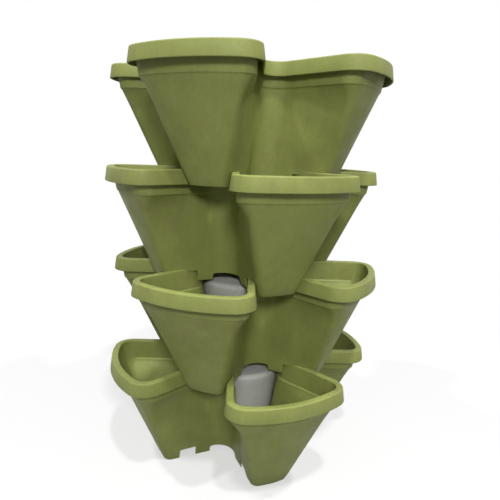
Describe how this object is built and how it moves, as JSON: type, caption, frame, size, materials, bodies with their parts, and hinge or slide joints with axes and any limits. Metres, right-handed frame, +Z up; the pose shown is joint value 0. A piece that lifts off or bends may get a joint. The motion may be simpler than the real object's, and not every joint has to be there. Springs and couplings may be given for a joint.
{
  "type": "planter tower",
  "caption": "Tower of lobed plastic pots stacked on each other, each turned against the next, with open planting pockets round a central core.",
  "frame": {"origin": "on the tower's axis, in the plane of the foot's underside", "axes": "+Z up along the tower's axis; the bottom pot's lobes point along +X, +Y, -X and -Y"},
  "size_m": [0.333, 0.333, 0.48],
  "materials": {
    "pot": "matte",
    "core": "matte"
  },
  "bodies": {
    "tier_1": {"pot_1_bottom": "pot", "core_1": "core"},
    "tier_2": {"pot_2": "pot", "core_2": "core"},
    "tier_3": {"pot_3": "pot", "core_3": "core"},
    "tier_4": {"pot_4_top": "pot"}
  },
  "joints": [
    {"name": "tier_2_lift", "type": "slide", "parent": "tier_1", "child": "tier_2", "axis": [0, 0, 1], "range_m": [0, 0.06]},
    {"name": "tier_3_lift", "type": "slide", "parent": "tier_2", "child": "tier_3", "axis": [0, 0, 1], "range_m": [0, 0.06]},
    {"name": "tier_4_lift", "type": "slide", "parent": "tier_3", "child": "tier_4", "axis": [0, 0, 1], "range_m": [0, 0.06]}
  ]
}
